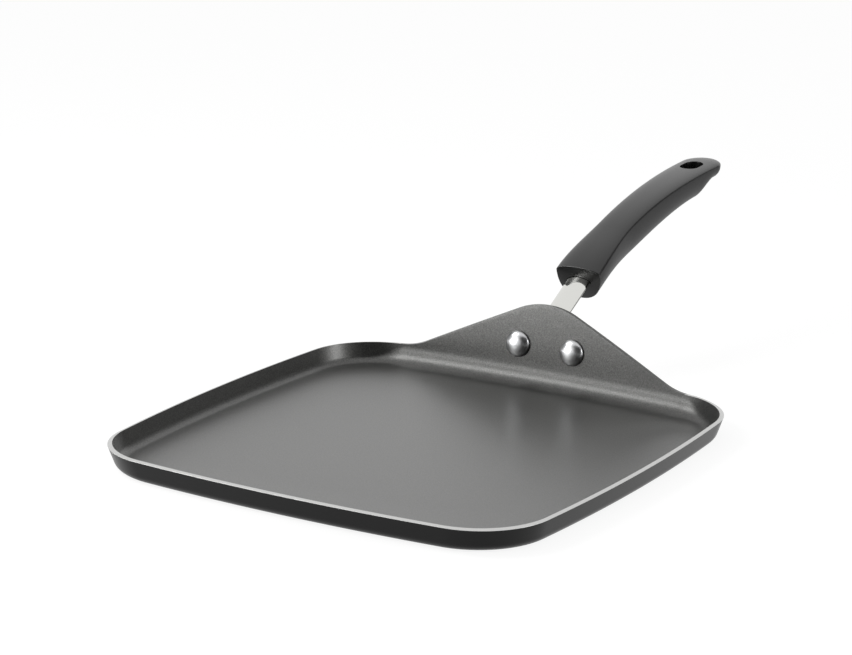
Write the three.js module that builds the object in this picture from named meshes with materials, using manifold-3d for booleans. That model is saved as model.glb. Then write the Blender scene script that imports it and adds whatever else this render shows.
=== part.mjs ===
// Square griddle pan. A pressed aluminium tray has its back wall drawn up into a handle tab. A stainless
// strap is riveted behind the tab, and a phenolic grip sits on the strap's tang, held by a screw from below.
// Millimetres, +Z up. The origin is the centre of the base's underside, and the handle runs along +Y.

import * as THREE from 'three';
import { mergeVertices } from 'three/addons/utils/BufferGeometryUtils.js';
import Module from 'manifold-3d';

const wasm = await Module();
wasm.setup();
const { degToRad, lerp, smoothstep } = THREE.MathUtils;
const QUARTER_TURN = Math.PI / 2;

// Tray: a rounded square of sheet with a low flared wall
const RIM_WIDTH = 277.7; // between the outer faces of two walls, produced to the height of the rim
const SIDE_BOW = 1125; // radius on which each side bulges
const RIM_CORNER = 42.5; // corner radius at the rim
const BASE_CORNER = 40; // corner radius where the flat base ends
const TRAY_HEIGHT = 13.8; // underside to the rim's inner edge
const SHEET = 2.2; // thickness of the floor, wall and tab
const WALL_DRAFT = degToRad(17); // flare of the wall from the vertical
const OUTER_FOOT = 6; // radius from base to wall, outside
const INNER_FOOT = 5; // radius from floor to wall, inside
const TAB_FOOT = 11.5; // the same radius along the back wall
const WALL_LAND = 1; // least straight wall left above a foot radius

// Handle tab: the back wall, raised to a blunt peak
const TAB_RISE = 36.8; // peak above the rim
const TAB_SLOPE = degToRad(25.1); // fall of its two straight edges
const TAB_PEAK = 45; // radius of the peak
const TAB_TOE = 40; // hollow radius where each edge runs into the rim
const TAB_LEAN = degToRad(5); // lean of its face from the vertical
const TAB_HOLD = degToRad(34.5); // bearing from +Y up to which the back wall keeps that lean and its foot
const TAB_LOST = degToRad(43); // bearing, on the corner, at which it has the tray's draft and foot

// Rivets, side by side through the tab
const RIVET_SPREAD = 36.2; // centre to centre
const RIVET_RISE = 11; // centre above the rim
const RIVET_SHANK = 5; // diameter
const RIVET_HEAD = 15.8; // diameter of the domed head, on the cooking side
const RIVET_HEAD_HEIGHT = 3.8;
const RIVET_TAIL = 9; // diameter of the closed end, behind the flange
const RIVET_TAIL_HEIGHT = 2.2;

// Bracket: flange, bend, arched strap and tang from one strip
const STRIP = 1.6; // thickness of the strip
const FLANGE_PAD = 9.5; // radius of flange round each rivet
const NECK = 12; // length over which the flange narrows to the strap
const BEND = 6; // radius of the bend from flange to strap
const STRAP_WIDTH = 15.3;
const STRAP_ARCH = 2.4; // crown across the strap
const STRAP_ROOT = 23.7; // height above the rim at which the strap's line leaves the flange
const STRAP_RISE = degToRad(28.7); // climb of the strap from the horizontal
const STRAP_LENGTH = 41; // from that root to the mouth of the grip
const TANG_LENGTH = 55; // inside the grip

// Grip: arched moulding, widest at its mouth and tail, with a deep belly and a thin rounded tail
const GRIP_FRONT_LEG = 73; // the widest line runs on a curve drawn from two legs
const GRIP_REAR_LEG = 107;
const GRIP_TAIL_RISE = degToRad(0.9); // climb of the rear leg
const MOUTH_TILT = degToRad(17); // tilt of the mouth's face from the vertical
const TANG_DEPTH = 5.2; // strap's edges below the grip's widest line
const MOUTH_HALF = 14.7; // half widths
const WAIST_HALF = 11.3;
const TAIL_HALF = 12.8;
const WAIST_AT = 52; // distance of the waist from the mouth
const CROWN = 2.5; // rise of the top above the widest line
const MOUTH_CROWN = 4; // the same rise at the mouth
const CROWN_SETTLE = 45; // distance over which it falls to the rest
const MOUTH_DEPTH = 17; // depths below the widest line
const BELLY_DEPTH = 20.8;
const HEEL_DEPTH = 16.8;
const TAIL_DEPTH = 9.2;
const BELLY_AT = 62; // distance of the belly from the mouth
const HEEL_FROM_END = 34; // where the belly's line breaks towards the tail, from the tail's end
const TAIL_FROM_END = 14; // where the tail has thinned down, from its end
const EDGE_ROUND = 0.6; // softening of the mouth's edge
const BULGE = 0.85; // below 1 squares off the round section
const HOLE_FROM_END = 25; // centre of the hang hole from the tail's end
const HOLE_LENGTH = 18;
const HOLE_WIDTH = 12;

// Screw through the grip's underside into the tang
const SCREW_AT = 34; // distance from the mouth
const SCREW_SHANK = 4; // diameter
const SCREW_HEAD = 7.2; // diameter
const SCREW_HEAD_HEIGHT = 2.4;
const SCREW_SEAT = 6; // grip material between tang and screw head
const SCREW_TIP = 1.4; // screw beyond the tang
const DRIVE_WIDTH = 1.1; // cross recess in the head
const DRIVE_LENGTH = 4;
const DRIVE_DEPTH = 1.3;

// Clearances between pieces
const SEAT_GAP = 0.3; // faces that bear on each other
const RIVET_CLEARANCE = 0.3; // round a rivet's shank
const TANG_CLEARANCE = 0.3; // round the tang in the grip
const SCREW_CLEARANCE = 0.3; // round the screw

// Facets
const SIDE_STEPS = 10;
const BACK_STEPS = 36;
const CORNER_STEPS = 10;
const FOOT_STEPS = 4;
const WALL_STEPS = 5;
const ROUND_STEPS = 32;
const DOME_STEPS = 6;
const PAD_STEPS = 8;
const NECK_STEPS = 10;
const ACROSS_STEPS = 8;
const TANG_STEPS = 7;
const GRIP_STEPS = 22;
const TAIL_STEPS = 6;
const GRIP_SIDES = 28;

/** Closed skin over a run of rings with equal point counts, with the first and last ring filled flat. */
function loft(rings) {
  const count = rings[0].length;
  const index = [];
  for (let ring = 0; ring < rings.length - 1; ring += 1) {
    for (let i = 0; i < count; i += 1) {
      const a = ring * count + i;
      const b = ring * count + ((i + 1) % count);
      index.push(a, b, b + count, a, b + count, a + count);
    }
  }
  const last = (rings.length - 1) * count;
  for (const [a, b, c] of fill(rings[0])) {
    index.push(a, c, b);
  }
  for (const [a, b, c] of fill(rings[rings.length - 1])) {
    index.push(last + a, last + b, last + c);
  }
  const geometry = new THREE.BufferGeometry().setFromPoints(rings.flat());
  geometry.setIndex(index);
  geometry.computeVertexNormals();
  return geometry;
}

/** Triangles that fill a flat ring, each turning the same way as the ring. */
function fill(ring) {
  const normal = new THREE.Vector3();
  ring.forEach((point, i) => normal.add(point.clone().cross(ring[(i + 1) % ring.length])));
  const across = ring[1].clone().sub(ring[0]).normalize();
  const up = normal.normalize().clone().cross(across);
  const flat = ring.map((point) => new THREE.Vector2(point.dot(across), point.dot(up)));
  return THREE.ShapeUtils.triangulateShape(flat, []).map(([a, b, c]) => {
    const turn = flat[b].clone().sub(flat[a]).cross(flat[c].clone().sub(flat[a]));
    return turn > 0 ? [a, b, c] : [a, c, b];
  });
}

/** Solid for cutting, from a closed geometry: only places are kept, and triangles that have no area go. */
function asSolid(geometry) {
  const bare = geometry.clone();
  bare.deleteAttribute('normal');
  bare.deleteAttribute('uv');
  const merged = mergeVertices(bare);
  const corners = [];
  for (let i = 0; i < merged.index.count; i += 3) {
    const [a, b, c] = merged.index.array.slice(i, i + 3);
    if (a !== b && b !== c && c !== a) {
      corners.push(a, b, c);
    }
  }
  const vertProperties = new Float32Array(merged.attributes.position.array);
  const triVerts = new Uint32Array(corners);
  return new wasm.Manifold(new wasm.Mesh({ numProp: 3, vertProperties, triVerts }));
}

/** Geometry with one or more closed tools cut out of it. */
function cut(geometry, ...tools) {
  const solid = tools.reduce((left, tool) => left.subtract(asSolid(tool)), asSolid(geometry));
  const { vertProperties, triVerts } = solid.getMesh();
  const result = new THREE.BufferGeometry();
  result.setAttribute('position', new THREE.BufferAttribute(vertProperties, 3));
  result.setIndex(new THREE.BufferAttribute(triVerts, 1));
  result.computeVertexNormals();
  return result;
}

/** Round bar along +Z between two heights. */
function bar(diameter, low, high) {
  const geometry = new THREE.CylinderGeometry(diameter / 2, diameter / 2, high - low, ROUND_STEPS);
  return geometry.rotateX(QUARTER_TURN).translate(0, 0, (low + high) / 2);
}

/** Turned piece about +Z from [radius, height] pairs. */
function turned(profile) {
  const points = profile.map(([radius, height]) => new THREE.Vector2(radius, height));
  return new THREE.LatheGeometry(points, ROUND_STEPS).rotateX(QUARTER_TURN);
}

/** Value eased from one knot to the next: knots are [place, value] pairs in order of place. */
function eased(place, knots) {
  let value = knots[0][1];
  for (let i = 1; i < knots.length; i += 1) {
    value = lerp(value, knots[i][1], smoothstep(place, knots[i - 1][0], knots[i][0]));
  }
  return value;
}

function material(color, roughness, metalness) {
  return new THREE.MeshStandardMaterial({ color, roughness, metalness });
}

// Tray

/** Height of the tab's edge above the rim, at a distance from the middle of the back wall. */
function tabRise(x) {
  const peakEnd = TAB_PEAK * Math.sin(TAB_SLOPE);
  const slopeTop = TAB_RISE - TAB_PEAK * (1 - Math.cos(TAB_SLOPE));
  const slopeFoot = TAB_TOE * (1 - Math.cos(TAB_SLOPE));
  const toeStart = peakEnd + (slopeTop - slopeFoot) / Math.tan(TAB_SLOPE);
  const toeEnd = toeStart + TAB_TOE * Math.sin(TAB_SLOPE);
  const out = Math.abs(x);
  if (out < peakEnd) {
    return TAB_RISE - TAB_PEAK + Math.sqrt(TAB_PEAK ** 2 - out ** 2);
  }
  if (out < toeStart) {
    return slopeTop - (out - peakEnd) * Math.tan(TAB_SLOPE);
  }
  return out < toeEnd ? TAB_TOE - Math.sqrt(TAB_TOE ** 2 - (toeEnd - out) ** 2) : 0;
}

/**
 * One face of the wall in section, as [inset, height] pairs: from the flat that it stands on, round its foot
 * and up to its top. The straight part passes through the given inset at the height of the rim.
 */
function wallFace(edge, flat, footRadius, lean, top) {
  const rest = 1 - Math.sin(lean);
  const radius = Math.min(footRadius, (TRAY_HEIGHT - flat - WALL_LAND) / rest);
  const start = flat + radius * rest;
  const centre = edge + (TRAY_HEIGHT - start) * Math.tan(lean) + radius * Math.cos(lean);
  const points = [];
  for (let i = 0; i < FOOT_STEPS; i += 1) {
    const turn = lerp(QUARTER_TURN, lean, i / FOOT_STEPS);
    points.push([centre - radius * Math.cos(turn), flat + radius * (1 - Math.sin(turn))]);
  }
  for (let i = 0; i <= WALL_STEPS; i += 1) {
    const height = lerp(start, top, i / WALL_STEPS);
    points.push([edge + (TRAY_HEIGHT - height) * Math.tan(lean), height]);
  }
  return points;
}

const BASE_INSET = wallFace(0, 0, OUTER_FOOT, WALL_DRAFT, TRAY_HEIGHT)[0][0];

/** Point of the tray's outline at a station, a given distance in from the rim. */
function outlinePoint({ quarter, along, onCorner }, inset) {
  const half = RIM_WIDTH / 2 - inset;
  const bow = SIDE_BOW - inset;
  const corner = lerp(RIM_CORNER, BASE_CORNER, inset / BASE_INSET);
  const back = bow - half;
  const centre = (Math.sqrt(2 * (bow - corner) ** 2 - back ** 2) - back) / 2;
  const sideEnd = Math.atan2(centre, centre + back);
  const turn = onCorner ? lerp(sideEnd, QUARTER_TURN - sideEnd, along) : lerp(-sideEnd, sideEnd, along);
  const point = new THREE.Vector2(Math.cos(turn), Math.sin(turn));
  if (onCorner) {
    point.multiplyScalar(corner).addScalar(centre);
  } else {
    point.multiplyScalar(bow).setX(point.x - back);
  }
  return point.rotateAround(new THREE.Vector2(), quarter * QUARTER_TURN);
}

/** Stations round the tray: in each quarter turn a bowed side, then the corner after it. */
function trayStations() {
  const stations = [];
  for (const [quarter, steps] of [SIDE_STEPS, BACK_STEPS, SIDE_STEPS, SIDE_STEPS].entries()) {
    for (let i = 0; i < steps; i += 1) {
      stations.push({ quarter, along: i / steps, onCorner: false });
    }
    for (let i = 0; i < CORNER_STEPS; i += 1) {
      stations.push({ quarter, along: i / CORNER_STEPS, onCorner: true });
    }
  }
  return stations;
}

/**
 * The tray's skin runs from the base up the outside, over the edge and down to the floor. The edge is cut
 * square to the sheet, so it slopes outwards where the wall flares.
 */
function panBody() {
  const columns = trayStations().map((station) => {
    const rim = outlinePoint(station, 0);
    const rise = rim.y > 0 ? tabRise(rim.x) : 0;
    const lost = smoothstep(Math.atan2(Math.abs(rim.x), rim.y), TAB_HOLD, TAB_LOST);
    const lean = lerp(TAB_LEAN, WALL_DRAFT, lost);
    const foot = lerp(TAB_FOOT, INNER_FOOT, lost);
    const top = TRAY_HEIGHT + rise;
    const outside = wallFace(0, 0, OUTER_FOOT, lean, top - SHEET * Math.sin(lean));
    const inside = wallFace(SHEET / Math.cos(lean), SHEET, foot, lean, top);
    return [...outside, ...inside.reverse()].map(([inset, height]) => {
      const { x, y } = outlinePoint(station, inset);
      return new THREE.Vector3(x, y, height);
    });
  });
  const rings = columns[0].map((_, level) => columns.map((column) => column[level]));
  const holes = RIVET_PLACES.map((x) => {
    const hole = bar(RIVET_SHANK + 2 * RIVET_CLEARANCE, -2 * SHEET, SHEET);
    return hole.applyMatrix4(tabFrame(x));
  });
  return cut(loft(rings), ...holes);
}

// Rivets

const RIVET_PLACES = [-RIVET_SPREAD / 2, RIVET_SPREAD / 2];

/** Distance of the tab's outer face behind the tray's middle. */
function tabFace(x, rise) {
  const out = rise * Math.tan(TAB_LEAN);
  const bow = SIDE_BOW + out;
  return RIM_WIDTH / 2 + out - bow + Math.sqrt(bow ** 2 - x ** 2);
}

/** Frame on the tab's outer face at the height of the rivets: +Z out of the face, +Y up the tab. */
function tabFrame(x) {
  const swing = Math.asin(x / SIDE_BOW);
  const frame = new THREE.Matrix4().makeRotationFromEuler(
    new THREE.Euler(QUARTER_TURN + TAB_LEAN, 0, Math.PI - swing, 'ZXY'),
  );
  return frame.setPosition(x, tabFace(x, RIVET_RISE), TRAY_HEIGHT + RIVET_RISE);
}

/** Solid rivet on the tab's frame: domed head inside the tray, closed end behind the flange. */
function rivet() {
  const headSeat = -SHEET - SEAT_GAP;
  const tailSeat = SEAT_GAP + STRIP + SEAT_GAP;
  const profile = [];
  for (let i = 0; i <= DOME_STEPS; i += 1) {
    const turn = (QUARTER_TURN * i) / DOME_STEPS;
    profile.push([(RIVET_HEAD / 2) * Math.sin(turn), headSeat - RIVET_HEAD_HEIGHT * Math.cos(turn)]);
  }
  profile.push([RIVET_SHANK / 2, headSeat], [RIVET_SHANK / 2, tailSeat]);
  for (let i = 0; i <= DOME_STEPS; i += 1) {
    const turn = (QUARTER_TURN * i) / DOME_STEPS;
    profile.push([(RIVET_TAIL / 2) * Math.cos(turn), tailSeat + RIVET_TAIL_HEIGHT * Math.sin(turn)]);
  }
  profile[profile.length - 1][0] = 0;
  return turned(profile);
}

// Bracket. Its line is the face that bears on the tab, which becomes the top of the strap. The line is drawn
// in the plane of symmetry with the first coordinate along +Y and the second along +Z.

const ROOT = new THREE.Vector2(
  tabFace(0, STRAP_ROOT) + SEAT_GAP / Math.cos(TAB_LEAN),
  TRAY_HEIGHT + STRAP_ROOT,
);
const FLANGE_FOOT = (STRAP_ROOT - RIVET_RISE + FLANGE_PAD) / Math.cos(TAB_LEAN); // from root down
const TURN = QUARTER_TURN - TAB_LEAN - STRAP_RISE;
const TANGENT = BEND * Math.tan(TURN / 2);
const BEND_START = FLANGE_FOOT - TANGENT;
const BEND_END = BEND_START + BEND * TURN;
const STRAP_END = BEND_END + STRAP_LENGTH - TANGENT;

/** Unit vector at an angle above +Y. */
function heading(angle) {
  return new THREE.Vector2(Math.cos(angle), Math.sin(angle));
}

const MOUTH = ROOT.clone().addScaledVector(heading(STRAP_RISE), STRAP_LENGTH);

/** Place and climb of the bracket's line, a given distance from the flange's foot. */
function bracketLine(distance) {
  const upright = QUARTER_TURN - TAB_LEAN;
  if (distance <= BEND_START) {
    return { point: ROOT.clone().addScaledVector(heading(upright), distance - FLANGE_FOOT), climb: upright };
  }
  if (distance < BEND_END) {
    const climb = upright - (distance - BEND_START) / BEND;
    const centre = ROOT.clone().addScaledVector(heading(upright), -TANGENT);
    centre.addScaledVector(heading(upright - QUARTER_TURN), BEND);
    return { point: centre.addScaledVector(heading(climb + QUARTER_TURN), BEND), climb };
  }
  if (distance <= STRAP_END) {
    const point = MOUTH.clone().addScaledVector(heading(STRAP_RISE), distance - STRAP_END);
    return { point, climb: STRAP_RISE };
  }
  const { point, tilt, climb } = gripStation(distance - STRAP_END);
  return { point: point.addScaledVector(heading(tilt + QUARTER_TURN), -TANG_DEPTH), climb };
}

/** Section of the bracket a given distance from the flange's foot, grown all round by a clearance. */
function bracketRing(distance, half, grow) {
  const { point, climb } = bracketLine(distance);
  const formed = smoothstep(distance, NECK_START, NECK_START + NECK);
  const up = heading(climb + QUARTER_TURN);
  const ring = [];
  for (const [side, lift] of [[1, grow], [-1, -STRIP - grow]]) {
    for (let i = 0; i <= ACROSS_STEPS; i += 1) {
      const share = side * (-1 + (2 * i) / ACROSS_STEPS);
      const x = share * (half + grow);
      const bowed = (1 - formed) * (tabFace(0, 0) - tabFace(x, 0));
      const offset = lift + bowed + formed * STRAP_ARCH * (1 - share ** 2);
      ring.push(new THREE.Vector3(x, point.x + up.x * offset, point.y + up.y * offset));
    }
  }
  return ring;
}

const NECK_START = (2 * FLANGE_PAD) / Math.cos(TAB_LEAN);

/** Flange with a round pad at each rivet, narrowing through a neck to the strap and its tang. */
function handleBracket() {
  const rows = [];
  for (let i = 0; i <= PAD_STEPS; i += 1) {
    const turn = lerp(-QUARTER_TURN, QUARTER_TURN, i / PAD_STEPS);
    const distance = (NECK_START * (1 + Math.sin(turn))) / 2;
    rows.push([distance, RIVET_SPREAD / 2 + FLANGE_PAD * Math.cos(turn)]);
  }
  for (let i = 1; i <= NECK_STEPS; i += 1) {
    const turn = (QUARTER_TURN * i) / NECK_STEPS;
    const half = lerp(RIVET_SPREAD / 2, STRAP_WIDTH / 2, Math.sin(turn));
    rows.push([NECK_START + NECK * (1 - Math.cos(turn)), half]);
  }
  for (let i = 0; i <= TANG_STEPS; i += 1) {
    rows.push([STRAP_END + (TANG_LENGTH * i) / TANG_STEPS, STRAP_WIDTH / 2]);
  }
  const plate = loft(rows.map(([distance, half]) => bracketRing(distance, half, 0)));
  const rivetHoles = RIVET_PLACES.map((x) => {
    const hole = bar(RIVET_SHANK + 2 * RIVET_CLEARANCE, -STRIP, 3 * STRIP);
    return hole.applyMatrix4(tabFrame(x));
  });
  const screwHole = bar(SCREW_SHANK + 2 * SCREW_CLEARANCE, -3 * STRIP, 2 * STRIP + STRAP_ARCH);
  return cut(plate, ...rivetHoles, screwHole.applyMatrix4(screwFrame()));
}

// Grip

const spine = (() => {
  const start = MOUTH.clone().addScaledVector(heading(MOUTH_TILT + QUARTER_TURN), TANG_DEPTH);
  const middle = start.clone().addScaledVector(heading(STRAP_RISE), GRIP_FRONT_LEG);
  const end = middle.clone().addScaledVector(heading(GRIP_TAIL_RISE), GRIP_REAR_LEG);
  return new THREE.QuadraticBezierCurve(start, middle, end);
})();
const GRIP_LENGTH = spine.getLength();

/** Place on the grip's widest line, its climb there, and the tilt of the section through it. */
function gripStation(distance) {
  const share = distance / GRIP_LENGTH;
  const point = spine.getPointAt(share);
  const tangent = spine.getTangentAt(share);
  return { point, climb: tangent.angle(), tilt: lerp(MOUTH_TILT, GRIP_TAIL_RISE, share) };
}

/** Section of the grip: a low crowned top on a deep round keel, drawn in by a given amount all round. */
function gripRing(distance, inset) {
  const { point, tilt } = gripStation(distance);
  const tailStart = GRIP_LENGTH - TAIL_HALF;
  const half = eased(distance, [[0, MOUTH_HALF], [WAIST_AT, WAIST_HALF], [tailStart, TAIL_HALF]]);
  const depth = eased(distance, [
    [0, MOUTH_DEPTH],
    [BELLY_AT, BELLY_DEPTH],
    [GRIP_LENGTH - HEEL_FROM_END, HEEL_DEPTH],
    [GRIP_LENGTH - TAIL_FROM_END, TAIL_DEPTH],
  ]);
  const crown = eased(distance, [[0, MOUTH_CROWN], [CROWN_SETTLE, CROWN]]);
  const rounding = Math.sqrt(1 - Math.max(0, (distance - tailStart) / TAIL_HALF) ** 2);
  const up = heading(tilt + QUARTER_TURN);
  const ring = [];
  for (let i = 0; i < GRIP_SIDES; i += 1) {
    const turn = (-2 * Math.PI * i) / GRIP_SIDES;
    const x = (half * rounding - inset) * bulge(Math.cos(turn));
    const tall = Math.sin(turn) > 0 ? crown : depth;
    const offset = (tall * Math.sqrt(rounding) - inset) * bulge(Math.sin(turn));
    ring.push(new THREE.Vector3(x, point.x + up.x * offset, point.y + up.y * offset));
  }
  return ring;
}

function bulge(value) {
  return Math.sign(value) * Math.abs(value) ** BULGE;
}

/** Frame at the screw: origin on the tang's top edge line, +Z up through the grip. */
function screwFrame() {
  const { point, tilt } = gripStation(SCREW_AT);
  const frame = new THREE.Matrix4().makeRotationX(tilt);
  const seat = point.addScaledVector(heading(tilt + QUARTER_TURN), -TANG_DEPTH);
  return frame.setPosition(0, seat.x, seat.y);
}

const TANG_TOP = STRAP_ARCH; // heights on the screw's frame
const HEAD_SEAT = STRAP_ARCH - STRIP - SCREW_SEAT;

/** Upright slot through the tail, with round ends. */
function hangHole() {
  const straight = (HOLE_LENGTH - HOLE_WIDTH) / 2;
  const outline = new THREE.Shape();
  outline.absarc(0, straight, HOLE_WIDTH / 2, 0, Math.PI);
  outline.absarc(0, -straight, HOLE_WIDTH / 2, Math.PI, 2 * Math.PI);
  const depth = 2 * (BELLY_DEPTH + CROWN);
  const slot = new THREE.ExtrudeGeometry(outline, { depth, bevelEnabled: false, curveSegments: DOME_STEPS });
  const { point, tilt } = gripStation(GRIP_LENGTH - HOLE_FROM_END);
  return slot.translate(0, 0, -depth / 2).rotateX(tilt).translate(0, point.x, point.y);
}

/** Moulding with a slot for the tang, a stepped well for the screw and a hang hole. */
function grip() {
  const rings = [gripRing(0, EDGE_ROUND), gripRing(EDGE_ROUND, 0)];
  const tailStart = GRIP_LENGTH - TAIL_HALF;
  for (let i = 1; i <= GRIP_STEPS; i += 1) {
    rings.push(gripRing(lerp(EDGE_ROUND, tailStart, i / GRIP_STEPS), 0));
  }
  for (let i = 1; i < TAIL_STEPS; i += 1) {
    rings.push(gripRing(tailStart + TAIL_HALF * Math.sin((QUARTER_TURN * i) / TAIL_STEPS), 0));
  }
  const slotRows = [STRAP_END - STRAP_WIDTH];
  for (let i = 0; i <= TANG_STEPS; i += 1) {
    slotRows.push(STRAP_END + ((TANG_LENGTH + TANG_CLEARANCE) * i) / TANG_STEPS);
  }
  const slot = loft(slotRows.map((distance) => bracketRing(distance, STRAP_WIDTH / 2, TANG_CLEARANCE)));
  const frame = screwFrame();
  const tipEnd = TANG_TOP + SCREW_TIP + SCREW_CLEARANCE;
  const bore = bar(SCREW_SHANK + 2 * SCREW_CLEARANCE, HEAD_SEAT - SCREW_SEAT, tipEnd).applyMatrix4(frame);
  const well = bar(SCREW_HEAD + 2 * SCREW_CLEARANCE, -2 * BELLY_DEPTH, HEAD_SEAT).applyMatrix4(frame);
  return cut(loft(rings), slot, bore, well, hangHole());
}

/** Pan head screw on the screw's frame, with a cross recess. */
function gripScrew() {
  const seat = HEAD_SEAT - SEAT_GAP;
  const profile = [];
  for (let i = 0; i <= DOME_STEPS; i += 1) {
    const turn = (QUARTER_TURN * i) / DOME_STEPS;
    profile.push([(SCREW_HEAD / 2) * Math.sin(turn), seat - SCREW_HEAD_HEIGHT * Math.sqrt(Math.cos(turn))]);
  }
  const tip = TANG_TOP + SCREW_TIP;
  profile.push([SCREW_SHANK / 2, seat], [SCREW_SHANK / 2, tip - SCREW_TIP / 2]);
  profile.push([SCREW_SHANK / 4, tip], [0, tip]);
  const recess = [[DRIVE_LENGTH, DRIVE_WIDTH], [DRIVE_WIDTH, DRIVE_LENGTH]].map(([width, length]) => {
    const slot = new THREE.BoxGeometry(width, length, 2 * DRIVE_DEPTH);
    return slot.translate(0, 0, seat - SCREW_HEAD_HEIGHT);
  });
  return cut(turned(profile), ...recess);
}

// Assembly

const griddlePan = new THREE.Group();

function addPiece(name, geometry, finish, frame = new THREE.Matrix4()) {
  const mesh = new THREE.Mesh(geometry, finish);
  mesh.name = name;
  mesh.applyMatrix4(frame);
  griddlePan.add(mesh);
}

addPiece('pan_body', panBody(), material('#57585a', 0.45, 0.4));
addPiece('handle_bracket', handleBracket(), material('#d8d9d5', 0.25, 1));
addPiece('rivet_left', rivet(), material('#c9cacb', 0.2, 1), tabFrame(RIVET_PLACES[0]));
addPiece('rivet_right', rivet(), material('#c9cacb', 0.2, 1), tabFrame(RIVET_PLACES[1]));
addPiece('grip', grip(), material('#2b2b2d', 0.5, 0));
addPiece('grip_screw', gripScrew(), material('#9a9b9d', 0.35, 1), screwFrame());

export default griddlePan;
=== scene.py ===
"""A square griddle pan: coated aluminium tray, riveted stainless bracket, phenolic grip and its screw."""

import bpy
import numpy as np
from mathutils import Matrix, Vector


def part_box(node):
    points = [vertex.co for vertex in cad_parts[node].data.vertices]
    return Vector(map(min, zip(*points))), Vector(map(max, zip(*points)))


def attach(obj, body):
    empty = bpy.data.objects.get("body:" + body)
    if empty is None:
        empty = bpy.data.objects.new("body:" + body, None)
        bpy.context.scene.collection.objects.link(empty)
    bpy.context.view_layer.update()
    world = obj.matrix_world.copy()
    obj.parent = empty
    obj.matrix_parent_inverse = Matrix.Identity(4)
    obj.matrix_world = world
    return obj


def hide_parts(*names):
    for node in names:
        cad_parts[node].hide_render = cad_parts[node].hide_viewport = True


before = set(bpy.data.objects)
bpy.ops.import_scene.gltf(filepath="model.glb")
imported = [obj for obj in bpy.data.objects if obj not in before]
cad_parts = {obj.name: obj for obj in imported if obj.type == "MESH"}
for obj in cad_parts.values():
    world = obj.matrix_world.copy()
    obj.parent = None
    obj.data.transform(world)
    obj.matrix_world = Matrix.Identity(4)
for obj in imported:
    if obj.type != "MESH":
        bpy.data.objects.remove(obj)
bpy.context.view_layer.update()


# Pan body. A blank of aluminium sheet is pressed into a shallow tray, and its back wall is drawn up into a
# tab for the handle. It is sprayed with a dark fluoropolymer inside and out and baked, and then its edge is
# machined, which leaves the rim bare.

MM = 0.001
RIM_HALF = 277.7 / 2 * MM  # to the outer face of a wall, produced to the height of the rim
TAB_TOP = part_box("pan_body")[1].z
SIDE_BOW = 1125 * MM  # radius on which each side bulges
RIM_CORNER = 42.5 * MM
BASE_CORNER = 40 * MM
TRAY_HEIGHT = 13.8 * MM
SHEET = 2.2 * MM
WALL_DRAFT = np.radians(17)  # flare of the wall from the vertical
OUTER_FOOT = 6 * MM  # radius from base to wall
INNER_FOOT = 5 * MM  # radius from floor to wall
TAB_FOOT = 11.5 * MM  # the same radius along the back wall
TAB_SLOPE = np.radians(25.1)  # fall of the tab's straight edges
TAB_PEAK = 45 * MM
TAB_TOE = 40 * MM
TAB_LEAN = np.radians(5)  # lean of the tab's face from the vertical
TAB_HOLD = np.radians(34.5)  # bearing off +Y, from the middle, up to which the wall keeps lean and foot
TAB_LOST = np.radians(43)  # bearing at which it has the tray's draft and foot
EDGE_SETTLE = 8 * MM  # rise over which the edge takes up the tab's softening
RIM_ROUND = 0.08 * MM  # softening of the machined edges
TAB_ROUND = 0.3 * MM  # softening of the tab's edges, under the coat
SIDE_POINTS = 56
BACK_POINTS = 200  # finer, because the tab's outline is here
CORNER_POINTS = 32
FOOT_ROWS = 12
WALL_ROWS = 14
EDGE_ROWS = 6
FLOOR_SHARES = (0.34, 0.67)  # rings that carry the flat floor and base in to the middle
OUTSIDE, BARE, LINING = range(3)  # places of the three finishes in the pan's list
SHARP_ANGLE = np.radians(40)  # edges that turn further than this stay sharp


def mix(a, b, share):
    """Value a share of the way from a to b."""
    return a + (b - a) * share


def smooth(place, start, end):
    """Share of the way from start to end, eased at both ends: 3 s squared less 2 s cubed."""
    share = np.clip((place - start) / (end - start), 0, 1)
    return share * share * (3 - 2 * share)


def tab_rise(x):
    """Height of the back wall's edge above the rim: a peak arc, a straight fall, and a hollow toe arc."""
    rise = TAB_TOP - TRAY_HEIGHT
    out = np.abs(x)
    peak_end = TAB_PEAK * np.sin(TAB_SLOPE)
    slope_top = rise - TAB_PEAK * (1 - np.cos(TAB_SLOPE))
    slope_foot = TAB_TOE * (1 - np.cos(TAB_SLOPE))
    toe_start = peak_end + (slope_top - slope_foot) / np.tan(TAB_SLOPE)
    toe_end = toe_start + TAB_TOE * np.sin(TAB_SLOPE)
    peak = rise - TAB_PEAK + np.sqrt(TAB_PEAK**2 - np.minimum(out, peak_end) ** 2)
    straight = slope_top - (out - peak_end) * np.tan(TAB_SLOPE)
    toe = TAB_TOE - np.sqrt(TAB_TOE**2 - np.clip(toe_end - out, 0, TAB_TOE * np.sin(TAB_SLOPE)) ** 2)
    return np.select([out < peak_end, out < toe_start], [peak, straight], toe)


def wall_face(edge, flat, foot, lean, top):
    """
    Insets and heights of one face of the wall, row by row at every station: an arc of the foot radius turns
    from the flat to the lean, and a straight line runs on to the top. The line passes the rim at edge.
    """
    start = flat + foot * (1 - np.sin(lean))
    centre = edge + (TRAY_HEIGHT - start) * np.tan(lean) + foot * np.cos(lean)
    turn = mix(np.pi / 2, lean, np.linspace(0, 1, FOOT_ROWS)[:, None])
    height = mix(start, top, np.linspace(0, 1, WALL_ROWS)[1:, None])
    insets = [centre - foot * np.cos(turn), edge + (TRAY_HEIGHT - height) * np.tan(lean)]
    return np.stack([np.concatenate(insets), np.concatenate([flat + foot * (1 - np.sin(turn)), height])], -1)


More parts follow.
